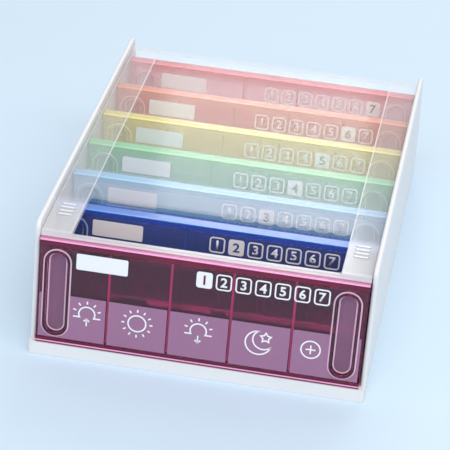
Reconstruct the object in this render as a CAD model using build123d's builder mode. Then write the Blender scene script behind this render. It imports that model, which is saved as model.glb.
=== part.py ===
"""Weekly pill box: a white cassette with seven day boxes, one behind another, under a sliding clear cover.

Millimetres, +Z up, front at -Y, origin at the middle of the underside of the whole box.
"""
import os

from build123d import *

# Overall size
overall_width = 117.0
overall_length = 185.0
overall_height = 50.0

# Shared values
cut_overrun = 1.0
running_gap = 0.3
day_count = 7

# Cassette
wall = 1.8
base_height = 4.7
floor_thickness = 2.0
skirt = 2.4
rib = 1.6
rib_bays_across = 4
rib_bays_along = 5
groove_depth = 0.9
groove_front_stop = 3.0
wall_above_cover = 3.1
back_wall_share = 0.42
back_gap = 1.2
wall_round = 0.8
wall_front_round = 3.0
base_corner_round = 0.8
round_limit_share = 0.45

# Day boxes, with depths measured back from the foremost face of the box
day_gap = 0.4
tray_side_gap = 0.4
tray_wall = 1.2
compartment_count = 5
rim_proud = 3.25
rim_end_proud = 2.7
rim_back_depth = 5.0
rail_front_depth = 0.45
rail_lip = 0.8
rail_width = 2.0
foot_setback = 5.6

# Day lids
lid_thickness = 1.85
lid_end_inset = 0.6
tongue_thickness = 0.9
tongue_reach = 1.0
lid_gap = 0.15
grip_width = 8.8
grip_margin = 1.1
grip_end_margin = 2.2
grip_rim = 0.9
grip_recess = 1.2

# Top cover
cover_thickness = 2.0
cover_edge_thickness = 1.4
cover_gap = 0.4
groove_gap = 0.25
cover_reach = 10.0
side_band = 10.4
panel_recess = 0.8
back_band = 10.0
front_bar = 2.0
window_length = 30.0
window_round = 1.5
grip_rib_count = 4
grip_rib_pitch = 2.6
grip_rib_width = 1.1
grip_rib_height = 0.4
grip_rib_end_margin = 2.5

# Places that follow from the sizes above
front_y = -overall_length / 2
back_y = overall_length / 2
back_wall_front_y = back_y - wall
back_wall_top_z = back_wall_share * overall_height
inner_width = overall_width - 2 * wall
cover_top_z = overall_height - wall_above_cover
cover_bottom_z = cover_top_z - cover_thickness
day_pitch = (overall_length - wall - back_gap) / day_count
last_day_front_y = front_y + (day_count - 1) * day_pitch
cover_back_y = last_day_front_y + cover_reach
lid_front_depth = rail_front_depth
lid_back_depth = lid_front_depth + lid_thickness
rim_front_depth = lid_back_depth + lid_gap
wall_front_y = front_y + rim_front_depth + running_gap
tray_width = inner_width - 2 * tray_side_gap
tray_depth = day_pitch - day_gap
tray_bottom_z = base_height + running_gap
tray_top_z = cover_bottom_z - cover_gap
tray_height = tray_top_z - tray_bottom_z
tray_middle_z = (tray_bottom_z + tray_top_z) / 2
trough_radius = tray_height / 2 - rim_proud
trough_centre_depth = tray_depth - trough_radius
foot_back_depth = tray_depth - foot_setback
body_width = tray_width - 2 * rim_end_proud
compartment_pitch = (body_width - tray_wall) / compartment_count
compartment_width = compartment_pitch - tray_wall
compartment_radius = trough_radius - tray_wall
lid_width = tray_width - 2 * lid_end_inset
lid_face_height = tray_height - 2 * rail_width - 2 * lid_gap
lid_height = lid_face_height + 2 * tongue_reach
grip_height = lid_face_height - 2 * grip_margin


def across(x, y, z):
    """A side section: first direction to the back, second up, looking along +X."""
    return Plane(origin=(x, y, z), x_dir=(0, 1, 0), z_dir=(1, 0, 0))


def facing_front(y, z):
    """A plane that faces the front: first direction to the right, second up."""
    return Plane(origin=(0, y, z), x_dir=(1, 0, 0), z_dir=(0, -1, 0))


def day_front(day):
    """Y of the foremost face of a day box, counted from 1 at the front."""
    return front_y + (day - 1) * day_pitch


def make_cassette():
    """White magazine: side walls with cover grooves, a low back for loading, floor on a ribbed skirt."""
    inside_length = back_wall_front_y - wall_front_y
    with BuildPart() as cassette:
        # Side outline: the walls are straight under the cover and slope down behind it
        with BuildSketch(across(0, 0, 0)) as side_outline:
            with BuildLine():
                Polyline(
                    (front_y, 0),
                    (back_y, 0),
                    (back_y, back_wall_top_z),
                    (back_wall_front_y, back_wall_top_z),
                    (cover_back_y, overall_height),
                    (wall_front_y, overall_height),
                    (wall_front_y, base_height),
                    (front_y, base_height),
                    close=True,
                )
            make_face()
            front_top = side_outline.vertices().sort_by_distance((wall_front_y, overall_height))[0]
            fillet(front_top, radius=wall_front_round)
        extrude(amount=overall_width / 2, both=True)
        # The space for the day boxes, open at the front and the top
        with BuildSketch(facing_front(back_wall_front_y, 0)):
            with Locations((0, (base_height + overall_height + cut_overrun) / 2)):
                Rectangle(inner_width, overall_height + cut_overrun - base_height)
        extrude(amount=inside_length + cut_overrun, mode=Mode.SUBTRACT)
        # Soft wall tops and corners
        top_edges = cassette.edges().filter_by(Axis.Y).group_by(Axis.Z)[-1]
        fillet(top_edges, radius=min(wall_round, round_limit_share * wall))
        upright_edges = cassette.edges().filter_by(Axis.Z).group_by(Axis.Y)
        corner_edges = upright_edges[0] + upright_edges[-1]
        fillet(corner_edges, radius=min(base_corner_round, round_limit_share * wall))
        # Grooves for the cover, open at the slopes and stopped short of the front
        groove_height = cover_edge_thickness + 2 * groove_gap
        groove_middle_z = cover_bottom_z + cover_edge_thickness / 2
        groove_length = back_y - wall_front_y - groove_front_stop
        with BuildSketch(facing_front(back_y, groove_middle_z)):
            Rectangle(inner_width + 2 * groove_depth, groove_height)
        extrude(amount=groove_length, mode=Mode.SUBTRACT)
        # Hollow bays under the floor, with ribs left between them
        bay_width = (overall_width - 2 * skirt - (rib_bays_across - 1) * rib) / rib_bays_across
        bay_length = (overall_length - 2 * skirt - (rib_bays_along - 1) * rib) / rib_bays_along
        with BuildSketch(Plane.XY):
            with GridLocations(bay_width + rib, bay_length + rib, rib_bays_across, rib_bays_along):
                Rectangle(bay_width, bay_length)
        extrude(amount=base_height - floor_thickness, mode=Mode.SUBTRACT)
    return cassette.part


def make_cover():
    """Milky cover: plate with thinner edges in the grooves, recessed panel, cut-out and grip ribs."""
    edge_width = inner_width + 2 * (groove_depth - groove_gap)
    plate_width = inner_width - 2 * running_gap
    panel_width = plate_width - 2 * side_band
    cover_length = cover_back_y - wall_front_y
    edge_length = cover_length - groove_front_stop - running_gap
    panel_front_y = wall_front_y - window_round - cut_overrun
    panel_back_y = cover_back_y - back_band
    window_middle_y = wall_front_y + front_bar + window_length / 2
    with BuildPart() as cover:
        with BuildSketch(Plane.XY.offset(cover_bottom_z)):
            with Locations((0, cover_back_y - cover_length / 2)):
                Rectangle(plate_width, cover_length)
        extrude(amount=cover_thickness)
        with BuildSketch(Plane.XY.offset(cover_bottom_z)):
            with Locations((0, cover_back_y - edge_length / 2)):
                Rectangle(edge_width, edge_length)
        extrude(amount=cover_edge_thickness)
        # Recessed middle panel, open at the front, then the cut-out behind its front bar
        with BuildSketch(Plane.XY.offset(cover_top_z)):
            with Locations((0, (panel_front_y + panel_back_y) / 2)):
                RectangleRounded(panel_width, panel_back_y - panel_front_y, window_round)
        extrude(amount=-panel_recess, mode=Mode.SUBTRACT)
        with BuildSketch(Plane.XY.offset(cover_bottom_z)):
            with Locations((0, window_middle_y)):
                RectangleRounded(panel_width, window_length, window_round)
        extrude(amount=cover_thickness, mode=Mode.SUBTRACT)
        # Low ribs for the thumbs, on both sides of the cut-out
        rib_length = side_band - 2 * grip_rib_end_margin
        rib_x = (panel_width + side_band) / 2
        with BuildSketch(Plane.XY.offset(cover_top_z)):
            with Locations((-rib_x, window_middle_y), (rib_x, window_middle_y)):
                with GridLocations(0, grip_rib_pitch, 1, grip_rib_count):
                    SlotOverall(rib_length, grip_rib_width)
        extrude(amount=grip_rib_height)
    return cover.part


def trough_section(plane, front_depth, radius):
    """Half-round trough section, straight from its front to the centre of the round."""
    with BuildSketch(plane) as section:
        with BuildLine():
            Line((front_depth, radius), (trough_centre_depth, radius))
            ThreePointArc(
                (trough_centre_depth, radius),
                (trough_centre_depth + radius, 0),
                (trough_centre_depth, -radius),
            )
            Polyline((trough_centre_depth, -radius), (front_depth, -radius), (front_depth, radius))
        make_face()
    return section.sketch


def make_tray(day):
    """Five half-round compartments behind a rim with a lid rail along its top and bottom."""
    y = day_front(day)
    half_height = tray_height / 2
    rail_middle_depth = (rail_front_depth + rim_front_depth) / 2
    groove_front_depth = rail_front_depth + rail_lip
    groove_middle_depth = (groove_front_depth + rim_front_depth) / 2
    groove_reach = tongue_reach + lid_gap
    rail_inner = half_height - rail_width
    with BuildPart() as tray:
        body = trough_section(across(0, y, tray_middle_z), rim_front_depth, trough_radius)
        extrude(body, amount=body_width / 2, both=True)
        # The rim plate and the two rails in front of it
        with BuildSketch(across(0, y, tray_middle_z)):
            with Locations(((rim_front_depth + rim_back_depth) / 2, 0)):
                Rectangle(rim_back_depth - rim_front_depth, tray_height)
            for side in (-1, 1):
                with Locations((rail_middle_depth, side * (half_height - rail_width / 2))):
                    Rectangle(rim_front_depth - rail_front_depth, rail_width)
                with Locations((groove_middle_depth, side * (rail_inner + groove_reach / 2))):
                    Rectangle(rim_front_depth - groove_front_depth, groove_reach, mode=Mode.SUBTRACT)
        extrude(amount=tray_width / 2, both=True)
        # A foot under each end keeps the box upright
        for side in (-1, 1):
            end_x = side * (body_width - tray_wall) / 2
            with BuildSketch(across(end_x, y, tray_middle_z)):
                with Locations(((rim_back_depth + foot_back_depth) / 2, -half_height / 2)):
                    Rectangle(foot_back_depth - rim_back_depth, half_height)
            extrude(amount=tray_wall / 2, both=True)
        # Compartments
        for index in range(compartment_count):
            x = (index - (compartment_count - 1) / 2) * compartment_pitch
            hollow_plane = across(x, y, tray_middle_z)
            hollow = trough_section(hollow_plane, rim_front_depth - cut_overrun, compartment_radius)
            extrude(hollow, amount=compartment_width / 2, both=True, mode=Mode.SUBTRACT)
    return tray.part


def make_lid(day):
    """Flat lid with a tongue along its top and bottom and an upright finger grip at each end."""
    y = day_front(day)
    grip_x = lid_width / 2 + lid_end_inset - grip_end_margin - grip_width / 2
    with BuildPart() as lid:
        with BuildSketch(across(0, y, tray_middle_z)):
            with Locations(((lid_front_depth + lid_back_depth) / 2, 0)):
                Rectangle(lid_thickness, lid_face_height)
            with Locations((lid_back_depth - tongue_thickness / 2, 0)):
                Rectangle(tongue_thickness, lid_height)
        extrude(amount=lid_width / 2, both=True)
        with BuildSketch(facing_front(y + lid_front_depth, tray_middle_z)):
            with Locations((-grip_x, 0), (grip_x, 0)):
                SlotOverall(grip_height, grip_width, rotation=90)
        extrude(amount=lid_front_depth)
        with BuildSketch(facing_front(y, tray_middle_z)):
            with Locations((-grip_x, 0), (grip_x, 0)):
                SlotOverall(grip_height - 2 * grip_rim, grip_width - 2 * grip_rim, rotation=90)
        extrude(amount=-(lid_front_depth + grip_recess), mode=Mode.SUBTRACT)
    return lid.part


def save(part, name):
    """Label a finished piece and write it under its own name."""
    part.label = name
    export_step(part, f"parts/{name}.step")


os.makedirs("parts", exist_ok=True)
save(make_cassette(), "cassette")
save(make_cover(), "top_cover")
for day in range(1, day_count + 1):
    save(make_tray(day), f"day_tray_{day}")
    save(make_lid(day), f"day_lid_{day}")
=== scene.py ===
"""Looks of the weekly pill box: tinted day boxes with printed lids, a white cassette and a milky cover."""
import math
from collections import namedtuple

import bmesh
import bpy
from mathutils import Matrix, Vector


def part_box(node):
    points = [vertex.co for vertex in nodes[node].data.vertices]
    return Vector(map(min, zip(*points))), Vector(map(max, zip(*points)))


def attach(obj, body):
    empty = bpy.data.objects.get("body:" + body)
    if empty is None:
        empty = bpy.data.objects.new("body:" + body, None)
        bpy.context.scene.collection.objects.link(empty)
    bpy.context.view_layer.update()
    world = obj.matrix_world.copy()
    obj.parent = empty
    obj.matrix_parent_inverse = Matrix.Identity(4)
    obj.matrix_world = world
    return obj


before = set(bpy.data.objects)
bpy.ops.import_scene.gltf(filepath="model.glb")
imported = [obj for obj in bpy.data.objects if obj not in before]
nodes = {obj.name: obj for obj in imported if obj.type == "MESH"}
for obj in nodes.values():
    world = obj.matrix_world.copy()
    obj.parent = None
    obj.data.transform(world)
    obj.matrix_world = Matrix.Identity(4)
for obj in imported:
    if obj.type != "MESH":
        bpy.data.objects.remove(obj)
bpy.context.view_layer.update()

mm = 0.001
day_count = 7
compartment_count = 5
both_sides = (-1, 1)
quarter_turn = 90
half_turn = 180
full_turn = 360

# Camera: direction from the front, tilt of the frame, distance and the point that it looks at
camera_yaw = math.radians(7.0)
camera_elevation = math.radians(27.45)
camera_roll = math.radians(5.0)
camera_distance = 900.0 * mm
camera_near = 10.0 * mm
camera_aim = Vector((-4.1, -10.0, 17.0)) * mm
picture_side_px = 450
photo_focal_px = 1217
close_up = 2.0
sensor_width = 36.0
light_bounces = 24

# Front of a day box: places count from its left and lower edges, drops from its upper edge
face_left_x, _, face_bottom_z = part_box("day_tray_1")[0]
face_right_x, _, face_top_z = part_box("day_tray_1")[1]
face_width = face_right_x - face_left_x
face_height = face_top_z - face_bottom_z
print_thickness = 0.06 * mm
print_sink = 0.02 * mm
stroke = 0.52 * mm

# Row of numbers, name field and pictures
number_first = 57.0 * mm
number_pitch = 6.68 * mm
number_size = Vector((5.5, 6.1)) * mm
number_drop = 6.35 * mm
number_round = 1.0 * mm
numeral_height = 3.6 * mm
numeral_weight = 0.025  # in the font's own units
label_left = 13.0 * mm
label_size = Vector((17.8, 6.1)) * mm
label_round = 0.6 * mm
picture_height = 12.5 * mm
end_picture_in = 17.6 * mm

# Painted reflection band over the lower half of the lid, and the finger grips of the lid
band_height = 19.4 * mm
band_edge = 0.8 * mm
band_foot = 2.4 * mm
band_gap = 1.0 * mm
grip_proud = 0.45 * mm
grip_middle_in = 6.6 * mm
grip_half_width = 4.4 * mm
grip_height = 33.0 * mm
grip_line_gap = 0.25 * mm
grip_rim = 0.9 * mm
grip_inset = grip_rim + stroke
grip_floor_depth = 1.65 * mm
grip_flat = 0.01 * mm

# Painted highlights on the edges of the trays, behind the lid and along the rails, and painted light on the
# rim tops
divider_pitch = 21.2 * mm
divider_half_height = 17.2 * mm
divider_line = 0.8 * mm
rim_front_depth = 2.45 * mm
rail_front_depth = 0.45 * mm
rail_line = 1.2 * mm
rail_front_up = 0.6 * mm
rail_front_line = 0.5 * mm
rim_top_depth = 3.3 * mm

# Milky cover: its denser parts, and painted highlights along the edge of its sunk panel and on its thumb
# ribs
cover_front_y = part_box("top_cover")[0][1]
cover_back_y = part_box("top_cover")[1][1]
rib_top_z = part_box("top_cover")[1][2]
panel_half_width = 46.0 * mm
back_band = 10.0 * mm
side_band = 10.4 * mm
panel_line = 0.5 * mm
front_bar = 2.0 * mm
corner_depth = 28.0 * mm
edge_blur = 0.3 * mm
corner_blur = 6.0 * mm
thumb_rib_count = 4
thumb_ribs_in = 17.0 * mm
thumb_rib_pitch = 2.6 * mm
thumb_rib_height = 0.4 * mm
thumb_rib_half_length = 2.2 * mm
thumb_rib_line = 0.8 * mm


def centred_steps(count):
    """Steps of one, spread evenly round zero."""
    return [i - (count - 1) / 2 for i in range(count)]


divider_places = [face_width / 2 + step * divider_pitch for step in centred_steps(compartment_count - 1)]
middle_places = [face_width / 2 + step * divider_pitch for step in centred_steps(compartment_count - 2)]
picture_places = [end_picture_in, *middle_places, face_width - end_picture_in]
grip_places = (grip_middle_in, face_width - grip_middle_in)


# Meshes of flat print

def direction(degrees):
    """Unit vector at an angle."""
    angle = math.radians(degrees)
    return Vector((math.cos(angle), math.sin(angle)))


def arc(centre, radius, start, end, steps=24):
    """Points on a circle between two angles in degrees."""
    angles = [math.radians(start + (end - start) * i / steps) for i in range(steps + 1)]
    return [Vector((centre[0] + radius * math.cos(a), centre[1] + radius * math.sin(a))) for a in angles]


def circle(centre, radius):
    """Points all round a circle."""
    return arc(centre, radius, 0, full_turn)[:-1]


def rounded_rectangle(centre, size, radius):
    """Outline of a rectangle with round corners."""
    corner_steps = 6
    points = []
    for quarter, (side_x, side_y) in enumerate(((1, 1), (-1, 1), (-1, -1), (1, -1))):
        corner = (
            centre[0] + side_x * (size[0] / 2 - radius),
            centre[1] + side_y * (size[1] / 2 - radius),
        )
        start = quarter_turn * quarter
        points += arc(corner, radius, start, start + quarter_turn, corner_steps)
    return points


def grip_outline(middle, grow):
    """Outline of a finger grip, grown or shrunk all round, with a trace of flat between its arcs."""
    size = Vector((2 * (grip_half_width + grow), grip_height + 2 * grow))
    return rounded_rectangle((middle, face_height / 2), size, size.x / 2 - grip_flat)


def grip_notch(middle):
    """Edge of the painted reflection band round the lower half of a finger grip, from its right to its
    left.
    """
    reach = grip_half_width + grip_line_gap
    low_centre = (middle, face_height / 2 - grip_height / 2 + grip_half_width)
    return [
        Vector((middle + reach, band_height)),
        *arc(low_centre, reach, 0, -half_turn),
        Vector((middle - reach, band_height)),
    ]


def add_plate(mesh, points):
    """One flat filled outline."""
    mesh.faces.new([mesh.verts.new((p[0], p[1], 0)) for p in points])


def add_line(mesh, points, width=stroke, closed=False):
    """A flat line of even width along the points, with limited mitres at sharp corners."""
    least_mitre_share = 0.4
    points = [Vector(p) for p in points]
    count = len(points)
    edges = []
    for i, point in enumerate(points):
        before = points[i - 1] if closed or i > 0 else point
        after = points[(i + 1) % count] if closed or i < count - 1 else point
        first = (point - before).normalized() if point != before else (after - point).normalized()
        second = (after - point).normalized() if after != point else first
        normal = Vector((-(first + second).y, (first + second).x)).normalized()
        mitre_share = max(normal.dot(Vector((-first.y, first.x))), least_mitre_share)
        reach = width / 2 / mitre_share
        edges.append([mesh.verts.new((*(point + side * reach * normal), 0)) for side in both_sides])
    for i in range(count if closed else count - 1):
        (a, b), (c, d) = edges[i], edges[(i + 1) % count]
        mesh.faces.new((a, c, d, b))


def add_numeral(mesh, text, centre, height):
    """A numeral from the built-in font, as flat faces."""
    font = bpy.data.curves.new("numeral", "FONT")
    font.body = text
    font.offset = numeral_weight
    holder = bpy.data.objects.new("numeral", font)
    bpy.context.scene.collection.objects.link(holder)
    shape = bpy.data.meshes.new_from_object(holder.evaluated_get(bpy.context.evaluated_depsgraph_get()))
    bpy.data.objects.remove(holder)
    xs = [v.co.x for v in shape.vertices]
    ys = [v.co.y for v in shape.vertices]
    scale = height / (max(ys) - min(ys))
    middle = Vector(((max(xs) + min(xs)) / 2, (max(ys) + min(ys)) / 2, 0))
    shape.transform(Matrix.Translation((*centre, 0)) @ Matrix.Scale(scale, 4) @ Matrix.Translation(-middle))
    mesh.from_mesh(shape)
    bpy.data.meshes.remove(shape)


def finish_piece(mesh, name, place, body, material):
    """Gives flat outlines a thickness, puts them in their place and lets them ride on a body."""
    bmesh.ops.recalc_face_normals(mesh, faces=mesh.faces)
    for face in mesh.faces:
        if face.normal.z < 0:
            face.normal_flip()
    grown = bmesh.ops.extrude_face_region(mesh, geom=mesh.faces[:])
    tops = [v for v in grown["geom"] if isinstance(v, bmesh.types.BMVert)]
    bmesh.ops.translate(mesh, verts=tops, vec=(0, 0, print_thickness))
    bmesh.ops.recalc_face_normals(mesh, faces=mesh.faces)
    bmesh.ops.transform(mesh, matrix=place, verts=mesh.verts)
    data = bpy.data.meshes.new(name)
    mesh.to_mesh(data)
    mesh.free()
    data.materials.append(material)
    piece = bpy.data.objects.new(name, data)
    bpy.context.scene.collection.objects.link(piece)
    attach(piece, body)


def on_front(day, depth):
    """Place for flat work on an upright face, at a depth behind the foremost point of a day box."""
    front_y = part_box(f"day_lid_{day}")[0][1]
    corner = Vector((face_left_x, front_y + depth + print_sink, face_bottom_z))
    return Matrix.Translation(corner) @ Matrix.Rotation(math.pi / 2, 4, "X")


def lay_on_lid(mesh, name, day, material, lift=0.0):
    """Thin print on the front of a lid, riding with it."""
    finish_piece(mesh, name, on_front(day, grip_proud - lift), f"day_lid_{day}", material)


# Pictures for the five compartments, each drawn round a middle point

def add_rays(mesh, centre, radius, angles, start_share, end_share):
    """Short rays outside a circle, at angles in degrees."""
    for angle in angles:
        ray = direction(angle) * radius
        add_line(mesh, [centre + ray * start_share, centre + ray * end_share])


def low_sun(mesh, at, tip_side):
    """Sun that stands in the horizon, with rays above and an arrow below that points up or down."""
    radius = 2.8 * mm
    rise = 0.7 * mm
    sunk_degrees = 28
    horizon_reach = 2.3 * mm
    ray_count = 5
    ray_start_share = 1.4
    ray_end_share = 1.8
    arrow_drop = 2.5 * mm
    half_arrow_length = 1.4 * mm
    barb = 1.0 * mm
    centre = at + Vector((0, rise))
    sun = arc(centre, radius, -sunk_degrees, half_turn + sunk_degrees)
    reach = Vector((horizon_reach, 0))
    add_line(mesh, [sun[0] + reach] + sun + [sun[-1] - reach])
    angles = [(ray + 0.5) * half_turn / ray_count for ray in range(ray_count)]
    add_rays(mesh, centre, radius, angles, ray_start_share, ray_end_share)
    half_arrow = Vector((0, tip_side * half_arrow_length))
    middle = at - Vector((0, arrow_drop))
    tip = middle + half_arrow
    add_line(mesh, [middle - half_arrow, tip])
    barbs = [tip + Vector((side * barb, -tip_side * barb)) for side in both_sides]
    add_line(mesh, [barbs[0], tip, barbs[1]])


def rising_sun(mesh, at):
    """Morning: low sun over an arrow that points up."""
    low_sun(mesh, at, tip_side=1)


def setting_sun(mesh, at):
    """Evening: low sun over an arrow that points down."""
    low_sun(mesh, at, tip_side=-1)


def high_sun(mesh, at):
    """Noon: full sun with rays all round."""
    radius = 3.1 * mm
    ray_count = 12
    ray_start_share = 1.4
    ray_end_share = 1.75
    add_line(mesh, circle(at, radius), closed=True)
    angles = [ray * full_turn / ray_count for ray in range(ray_count)]
    add_rays(mesh, at, radius, angles, ray_start_share, ray_end_share)


def moon_and_star(mesh, at):
    """Night: crescent in outline with a small star beside it."""
    outer_shift = Vector((-0.4, -0.3)) * mm
    outer_radius = 4.5 * mm
    outer_from, outer_to = 92, 343
    outer_steps = 36
    inner_shift = Vector((1.3, 1.0)) * mm
    inner_radius = 3.7 * mm
    inner_from, inner_to = 314, 121
    inner_steps = 28
    star_shift = Vector((2.0, 1.9)) * mm
    star_points = 5
    star_radii = (1.9 * mm, 1.05 * mm)
    outer = arc(at + outer_shift, outer_radius, outer_from, outer_to, outer_steps)
    inner = arc(at + inner_shift, inner_radius, inner_from, inner_to, inner_steps)
    add_line(mesh, outer + inner, closed=True)
    points = []
    for step in range(2 * star_points):
        angle = quarter_turn + step * half_turn / star_points
        points.append(at + star_shift + star_radii[step % 2] * direction(angle))
    add_line(mesh, points, closed=True)


def plus_in_ring(mesh, at):
    """Spare doses: ring with a plus."""
    ring_radius = 3.3 * mm
    reach = 1.7 * mm
    add_line(mesh, circle(at, ring_radius), closed=True)
    add_line(mesh, [at - Vector((reach, 0)), at + Vector((reach, 0))])
    for side in both_sides:
        add_line(mesh, [at + Vector((0, side * stroke / 2)), at + Vector((0, side * reach))])


pictures = (rising_sun, high_sun, setting_sun, moon_and_star, plus_in_ring)


# Materials

def link(tree, start, end):
    """Joins two sockets."""
    tree.links.new(start, end)


def plastic(
    name, colour, roughness, spread=0.02, shade=0.03, transmission=0.0, opacity=1.0,
    bump=0.02, grain=900.0, edge=0.0,
):
    """Moulded plastic: faint flow marks in the colour, uneven gloss, a fine grain and soft edges."""
    flow_scale = 45.0
    flow_detail = 4.0
    grain_depth = 0.1 * mm
    edge_samples = 4
    material = bpy.data.materials.new(name)
    material.use_nodes = True
    tree = material.node_tree
    shader = tree.nodes["Principled BSDF"]
    shader.inputs["Transmission Weight"].default_value = transmission
    shader.inputs["Alpha"].default_value = opacity
    place = tree.nodes.new("ShaderNodeTexCoord")
    flow = tree.nodes.new("ShaderNodeTexNoise")
    flow.inputs["Scale"].default_value = flow_scale
    flow.inputs["Detail"].default_value = flow_detail
    link(tree, place.outputs["Object"], flow.inputs["Vector"])
    tones = tree.nodes.new("ShaderNodeValToRGB")
    tones.color_ramp.elements[0].color = (*[c * (1 - shade) for c in colour], 1)
    tones.color_ramp.elements[1].color = (*[min(1, c * (1 + shade)) for c in colour], 1)
    link(tree, flow.outputs["Fac"], tones.inputs["Fac"])
    link(tree, tones.outputs["Color"], shader.inputs["Base Color"])
    gloss = tree.nodes.new("ShaderNodeMapRange")
    gloss.inputs["To Min"].default_value = max(0, roughness - spread)
    gloss.inputs["To Max"].default_value = roughness + spread
    link(tree, flow.outputs["Fac"], gloss.inputs["Value"])
    link(tree, gloss.outputs["Result"], shader.inputs["Roughness"])
    skin = tree.nodes.new("ShaderNodeTexNoise")
    skin.inputs["Scale"].default_value = grain
    link(tree, place.outputs["Object"], skin.inputs["Vector"])
    relief = tree.nodes.new("ShaderNodeBump")
    relief.inputs["Strength"].default_value = bump
    relief.inputs["Distance"].default_value = grain_depth
    link(tree, skin.outputs["Fac"], relief.inputs["Height"])
    if edge:
        soft_edge = tree.nodes.new("ShaderNodeBevel")
        soft_edge.samples = edge_samples
        soft_edge.inputs["Radius"].default_value = edge
        link(tree, soft_edge.outputs["Normal"], relief.inputs["Normal"])
    link(tree, relief.outputs["Normal"], shader.inputs["Normal"])
    return material


def ramp(tree, source, start, end, low, high):
    """A value that runs from low to high while the source runs from start to end."""
    node = tree.nodes.new("ShaderNodeMapRange")
    node.inputs["From Min"].default_value = start
    node.inputs["From Max"].default_value = end
    node.inputs["To Min"].default_value = low
    node.inputs["To Max"].default_value = high
    link(tree, source, node.inputs["Value"])
    return node.outputs["Result"]


def blurred_step(tree, source, middle, blur, low, high):
    """A value that changes from low to high round a middle place of the source."""
    return ramp(tree, source, middle - blur, middle + blur, low, high)


def combine(tree, operation, first, second):
    """Two values joined by one operation."""
    node = tree.nodes.new("ShaderNodeMath")
    node.operation = operation
    link(tree, first, node.inputs[0])
    link(tree, second, node.inputs[1])
    return node.outputs["Value"]


def cloud_edges(material, middle, bands, corners, bar):
    """Makes the milky plate denser in its side bands, most at the thumb ribs, and in its front bar."""
    tree = material.node_tree
    place = tree.nodes.new("ShaderNodeTexCoord")
    parts = tree.nodes.new("ShaderNodeSeparateXYZ")
    link(tree, place.outputs["Object"], parts.inputs["Vector"])
    outward = tree.nodes.new("ShaderNodeMath")
    outward.operation = "ABSOLUTE"
    link(tree, parts.outputs["X"], outward.inputs[0])
    side = blurred_step(tree, outward.outputs["Value"], panel_half_width, edge_blur, middle, bands)
    at_side = blurred_step(tree, outward.outputs["Value"], panel_half_width, edge_blur, 0, corners)
    at_ribs = blurred_step(tree, parts.outputs["Y"], cover_front_y + corner_depth, corner_blur, 1, 0)
    corner = combine(tree, "MULTIPLY", at_side, at_ribs)
    front = blurred_step(tree, parts.outputs["Y"], cover_front_y + front_bar, edge_blur, bar, 0)
    densest = combine(tree, "MAXIMUM", combine(tree, "MAXIMUM", side, corner), front)
    link(tree, densest, tree.nodes["Principled BSDF"].inputs["Alpha"])


def over_haze(colour, share, haze=(0.0, 0.0, 0.0)):
    """A share of a colour, added to a haze."""
    return tuple(h + share * c for h, c in zip(haze, colour))


def dress(node_name, material):
    """Gives a CAD node its material."""
    node = nodes[node_name]
    node.data.materials.clear()
    node.data.materials.append(material)


# Tints of the day boxes: record slot, colours of tray, lid and the painted highlights and reflections, and
# how far tray and lid refract or hide what is behind
Body = namedtuple("Body", "transmission opacity")
Tint = namedtuple("Tint", "slot tray_colour lid_colour edge_colour tray_body lid_body")
veiled = Body(transmission=0.0, opacity=0.36)
dense_veil = Body(transmission=0.0, opacity=0.55)
tints = {
    1: Tint(
        "tint_aubergine", tray_colour=(0.48, 0.008, 0.14), lid_colour=(0.86, 0.22, 0.50),
        edge_colour=(0.96, 0.35, 0.66), tray_body=Body(0.84, 1.0), lid_body=Body(0.99, 1.0),
    ),
    2: Tint(
        "tint_royal_blue", tray_colour=(0.10, 0.28, 0.92), lid_colour=(0.26, 0.46, 0.95),
        edge_colour=(0.08, 0.28, 0.88), tray_body=Body(0.72, 1.0), lid_body=Body(0.84, 1.0),
    ),
    3: Tint(
        "tint_light_blue", tray_colour=(0.36, 0.72, 0.97), lid_colour=(0.48, 0.76, 0.97),
        edge_colour=(0.20, 0.62, 0.97), tray_body=veiled, lid_body=dense_veil,
    ),
    4: Tint(
        "tint_green", tray_colour=(0.16, 0.70, 0.28), lid_colour=(0.18, 0.70, 0.52),
        edge_colour=(0.12, 0.70, 0.22), tray_body=veiled, lid_body=veiled,
    ),
    5: Tint(
        "tint_yellow", tray_colour=(0.97, 0.78, 0.10), lid_colour=(0.97, 0.78, 0.10),
        edge_colour=(0.97, 0.80, 0.0), tray_body=veiled, lid_body=veiled,
    ),
    6: Tint(
        "tint_orange", tray_colour=(0.97, 0.30, 0.08), lid_colour=(0.97, 0.20, 0.12),
        edge_colour=(0.97, 0.20, 0.03), tray_body=veiled, lid_body=veiled,
    ),
    7: Tint(
        "tint_red", tray_colour=(0.94, 0.12, 0.16), lid_colour=(0.95, 0.22, 0.27),
        edge_colour=(0.93, 0.10, 0.16), tray_body=veiled, lid_body=veiled,
    ),
}
# Of these looks, edge, rim and line are painted highlights, veil and grip painted reflected light, and
# divider painted highlights on the clear days
Looks = namedtuple("Looks", "tray lid edge divider rim line veil grip ink")


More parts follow.
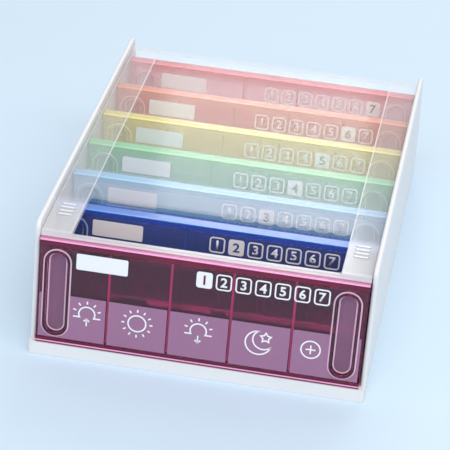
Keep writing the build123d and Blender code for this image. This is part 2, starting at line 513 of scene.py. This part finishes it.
def day_looks(tint):
    """The materials of one day box, all from its tint."""
    slot = tint.slot
    soft_edge = 0.3 * mm
    # Divider lines are painted highlights in the full highlight colour behind a clear lid, and darker
    # behind a veiled lid, so that they show through it
    divider_share = 1.0 if tint.lid_body.transmission > 0 else 0.3
    divider_colour = over_haze(tint.edge_colour, divider_share)
    # Painted light on the rim top, standing in for light gathered in the clear plastic
    rim_highlight_colour = over_haze(tint.edge_colour, share=0.8, haze=(0.12, 0.12, 0.12))
    # Painted highlight colour for the outlines round the finger grips and the edges of their hollows
    grip_highlight_colour = over_haze(tint.edge_colour, share=0.5, haze=(0.45, 0.45, 0.45))
    # Painted reflection colour for the band on the lower lid, also laid thinly over the grip floors as
    # painted light
    painted_light_colour = over_haze(tint.edge_colour, share=0.6, haze=(0.17, 0.21, 0.29))
    ink_colour = over_haze(tint.tray_colour, share=0.35)
    return Looks(
        tray=plastic(
            f"{slot}_tray", tint.tray_colour, roughness=0.05, bump=0.01, edge=soft_edge,
            transmission=tint.tray_body.transmission, opacity=tint.tray_body.opacity,
        ),
        lid=plastic(
            f"{slot}_lid", tint.lid_colour, roughness=0.04, bump=0.01, edge=soft_edge,
            transmission=tint.lid_body.transmission, opacity=tint.lid_body.opacity,
        ),
        # Painted highlights along the rail edges
        edge=plastic(f"{slot}_edge", tint.edge_colour, roughness=0.25, bump=0.01),
        divider=plastic(f"{slot}_divider", divider_colour, roughness=0.25, bump=0.01),
        # Painted light on the rim top
        rim=plastic(f"{slot}_rim", rim_highlight_colour, roughness=0.2, opacity=0.6),
        # Painted highlights round the finger grips
        line=plastic(f"{slot}_line", grip_highlight_colour, roughness=0.25, opacity=0.8),
        # Painted reflection band on the lower lid
        veil=plastic(f"{slot}_band", painted_light_colour, roughness=0.3, spread=0.05, opacity=0.38, bump=0.05),
        # Painted light over the floors of the grip hollows
        grip=plastic(f"{slot}_grip", painted_light_colour, roughness=0.2, opacity=0.20),
        ink=plastic(f"{slot}_ink", ink_colour, roughness=0.45, spread=0.05, bump=0.05),
    )


white_colour = (0.80, 0.80, 0.81)
milk_colour = (0.95, 0.96, 0.97)
print_colour = (0.88, 0.88, 0.90)
cassette_soft_edge = 0.5 * mm
cover_soft_edge = 0.35 * mm
white = plastic(
    "white_moulding", white_colour, roughness=0.42, spread=0.06, bump=0.12, edge=cassette_soft_edge,
)
milky = plastic("milky_cover", milk_colour, roughness=0.10, bump=0.01, edge=cover_soft_edge)
cloud_edges(milky, middle=0.13, bands=0.20, corners=0.42, bar=0.50)
# Painted glints on the thumb rib tops
rib_glint = plastic("thumb_rib", milk_colour, roughness=0.2, opacity=0.75)
# Painted highlight along the edge of the sunk panel
panel_highlight = plastic("cover_edge_highlight", milk_colour, roughness=0.2, opacity=0.3)
white_ink = plastic("white_ink", print_colour, roughness=0.5, spread=0.08, bump=0.05)


# Pieces of one day box

def print_marks(day, looks):
    """Framed numbers with the box's own day filled, and a picture for each compartment below."""
    marks = bmesh.new()
    own_numeral = bmesh.new()
    for number in range(1, day_count + 1):
        centre = Vector((number_first + (number - 1) * number_pitch, face_height - number_drop))
        if number == day:
            add_plate(marks, rounded_rectangle(centre, number_size, number_round))
            add_numeral(own_numeral, str(number), centre, numeral_height)
        else:
            line_size = number_size - Vector((stroke, stroke))
            add_line(marks, rounded_rectangle(centre, line_size, number_round), closed=True)
            add_numeral(marks, str(number), centre, numeral_height)
    for draw, place in zip(pictures, picture_places):
        draw(marks, Vector((place, picture_height)))
    lay_on_lid(marks, f"day_marks_{day}", day, white_ink, lift=print_thickness / 2)
    lay_on_lid(own_numeral, f"own_numeral_{day}", day, looks.ink, lift=print_thickness)


def print_name_field(day):
    """Bare white field at the left of the numbers."""
    label = bmesh.new()
    centre = Vector((label_left + label_size.x / 2, face_height - number_drop))
    add_plate(label, rounded_rectangle(centre, label_size, label_round))
    lay_on_lid(label, f"name_field_{day}", day, white_ink)


def draw_grips(day, looks):
    """Painted highlights round the two finger grips and along the edges of their hollows, and painted light
    over the floors of the hollows.
    """
    lines = bmesh.new()
    floors = bmesh.new()
    edges = bmesh.new()
    for middle in grip_places:
        add_line(lines, grip_outline(middle, stroke / 2), closed=True)
        add_plate(floors, grip_outline(middle, -grip_inset))
        add_line(edges, grip_outline(middle, -grip_inset), closed=True)
    lid = f"day_lid_{day}"
    lay_on_lid(lines, f"grip_lines_{day}", day, looks.line, lift=print_thickness / 2)
    edges_place = on_front(day, grip_floor_depth - print_thickness)
    finish_piece(edges, f"grip_edges_{day}", edges_place, lid, looks.line)
    finish_piece(floors, f"grip_floors_{day}", on_front(day, grip_floor_depth), lid, looks.grip)


def draw_dividers(day, looks):
    """Front edges of the walls between the compartments, drawn as painted highlights behind a clear lid and
    as darker lines behind a veiled one.
    """
    dividers = bmesh.new()
    for middle in divider_places:
        ends = [Vector((middle, face_height / 2 + side * divider_half_height)) for side in both_sides]
        add_line(dividers, ends, divider_line)
    place = on_front(day, rim_front_depth)
    finish_piece(dividers, f"divider_edges_{day}", place, f"day_tray_{day}", looks.divider)


def lay_on_tray(name, day, material, front_in, depth):
    """A strip of some depth along the top of a tray, at a distance behind its front."""
    strip = bmesh.new()
    add_line(strip, [Vector((face_left_x, 0)), Vector((face_right_x, 0))], depth)
    middle_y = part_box(f"day_tray_{day}")[0][1] + front_in + depth / 2
    place = Matrix.Translation((0, middle_y, face_top_z - print_sink))
    finish_piece(strip, name, place, f"day_tray_{day}", material)


def draw_rails(day, looks):
    """Painted highlights on the edges of the upper and lower rails, and painted light on the top of the rim
    behind the upper one.
    """
    lay_on_tray(f"rail_highlight_{day}", day, looks.edge, front_in=0, depth=rail_line)
    rail_front = bmesh.new()
    add_line(rail_front, [Vector((0, rail_front_up)), Vector((face_width, rail_front_up))], rail_front_line)
    place = on_front(day, rail_front_depth)
    finish_piece(rail_front, f"rail_front_{day}", place, f"day_tray_{day}", looks.edge)
    lay_on_tray(f"rim_top_{day}", day, looks.rim, front_in=rail_line, depth=rim_top_depth)


def frost_lid(day, looks):
    """Painted reflection over the lower half of the lid, in fields one to a compartment, cut out round the
    grips.
    """
    band = bmesh.new()
    lefts = [band_edge] + [place + band_gap / 2 for place in divider_places]
    rights = [place - band_gap / 2 for place in divider_places] + [face_width - band_edge]
    for left, right in zip(lefts, rights):
        outline = [Vector((left, band_foot)), Vector((right, band_foot)), Vector((right, band_height))]
        for middle in grip_places:
            if left < middle < right:
                outline += grip_notch(middle)
        add_plate(band, outline + [Vector((left, band_height))])
    lay_on_lid(band, f"reflection_band_{day}", day, looks.veil, lift=-print_thickness / 2)


# Pieces of the cover

def draw_panel_edge():
    """Painted highlight along the edge of the cover's sunk middle panel, which is open at the front."""
    panel_edge_highlight = bmesh.new()
    side_x = panel_half_width + panel_line / 2
    back_y = cover_back_y - back_band + panel_line / 2
    corners = ((-side_x, cover_front_y), (-side_x, back_y), (side_x, back_y), (side_x, cover_front_y))
    add_line(panel_edge_highlight, corners, panel_line)
    place = Matrix.Translation((0, 0, rib_top_z - thumb_rib_height - print_sink))
    finish_piece(panel_edge_highlight, "panel_edge_highlight", place, "top_cover", panel_highlight)


def draw_thumb_ribs():
    """Painted glints on the tops of the ribs for the thumbs."""
    thumb_ribs = bmesh.new()
    half_rib = Vector((thumb_rib_half_length, 0))
    for side in both_sides:
        rib_x = side * (panel_half_width + side_band / 2)
        for step in centred_steps(thumb_rib_count):
            rib = Vector((rib_x, cover_front_y + thumb_ribs_in + step * thumb_rib_pitch))
            add_line(thumb_ribs, [rib - half_rib, rib + half_rib], thumb_rib_line)
    place = Matrix.Translation((0, 0, rib_top_z - print_sink))
    finish_piece(thumb_ribs, "thumb_rib_glints", place, "top_cover", rib_glint)


dress("cassette", white)
dress("top_cover", milky)
for day, tint in tints.items():
    looks = day_looks(tint)
    dress(f"day_tray_{day}", looks.tray)
    dress(f"day_lid_{day}", looks.lid)
    print_marks(day, looks)
    print_name_field(day)
    draw_grips(day, looks)
    draw_dividers(day, looks)
    draw_rails(day, looks)
    frost_lid(day, looks)
draw_panel_edge()
draw_thumb_ribs()


# Floor, light and camera; places and sizes are in metres, lamp powers in watts

half_floor = 4.0
floor_colour = (0.62, 0.76, 0.88)
world_colour = (0.95, 0.97, 1.0, 1)
world_strength = 0.65
Lamp = namedtuple("Lamp", "name place aim size power")
lamps = (
    Lamp("key", place=(0.7, -0.5, 1.0), aim=(0, 0, 0), size=0.6, power=3),
    Lamp("back", place=(0.25, 1.0, 0.75), aim=(0, 0, 0.04), size=0.5, power=2),
    Lamp("glare", place=(-0.09, 0.90, 0.51), aim=(0.02, 0.02, 0.046), size=0.16, power=0.5),
    Lamp("fill", place=(-0.9, -0.7, 0.7), aim=(0, 0, 0), size=0.7, power=1),
    Lamp("front", place=(0.1, -0.95, 1.15), aim=(0, 0, 0.03), size=0.7, power=8),
)


def lay_floor():
    """A plain pale floor under the box."""
    floor_data = bpy.data.meshes.new("floor")
    corners = [(x * half_floor, y * half_floor, 0) for x, y in ((-1, -1), (1, -1), (1, 1), (-1, 1))]
    floor_data.from_pydata(corners, [], [tuple(range(len(corners)))])
    floor = bpy.data.objects.new("floor", floor_data)
    bpy.context.scene.collection.objects.link(floor)
    floor_data.materials.append(plastic("pale_floor", floor_colour, roughness=0.6, shade=0.01, grain=300.0))


def light_world():
    """Even light from all round."""
    world = bpy.data.worlds.new("studio")
    bpy.context.scene.world = world
    world.use_nodes = True
    background = world.node_tree.nodes["Background"]
    background.inputs["Color"].default_value = world_colour
    background.inputs["Strength"].default_value = world_strength


def hang_softbox(lamp):
    """A square soft lamp that faces a point."""
    light = bpy.data.lights.new(lamp.name, "AREA")
    light.energy = lamp.power
    light.size = lamp.size
    holder = bpy.data.objects.new(lamp.name, light)
    bpy.context.scene.collection.objects.link(holder)
    holder.location = lamp.place
    holder.rotation_euler = (Vector(lamp.aim) - Vector(lamp.place)).to_track_quat("-Z", "Y").to_euler()


def place_camera():
    """Camera at the photo's viewing angle, closer than the photo and tilted as its frame is."""
    back = Vector((
        math.cos(camera_elevation) * math.sin(camera_yaw),
        -math.cos(camera_elevation) * math.cos(camera_yaw),
        math.sin(camera_elevation),
    ))
    camera_data = bpy.data.cameras.new("camera")
    camera_data.sensor_width = sensor_width
    camera_data.lens = photo_focal_px * close_up / picture_side_px * sensor_width
    camera_data.clip_start = camera_near
    camera = bpy.data.objects.new("camera", camera_data)
    bpy.context.scene.collection.objects.link(camera)
    level = (-back).to_track_quat("-Z", "Y").to_matrix().to_4x4()
    standpoint = Matrix.Translation(camera_aim + camera_distance * back)
    camera.matrix_world = standpoint @ level @ Matrix.Rotation(camera_roll, 4, "Z")
    bpy.context.scene.camera = camera


lay_floor()
light_world()
for lamp in lamps:
    hang_softbox(lamp)
place_camera()
bpy.context.scene.view_settings.view_transform = "Standard"
bpy.context.scene.cycles.max_bounces = light_bounces
bpy.context.scene.cycles.transmission_bounces = light_bounces
bpy.context.scene.cycles.transparent_max_bounces = light_bounces
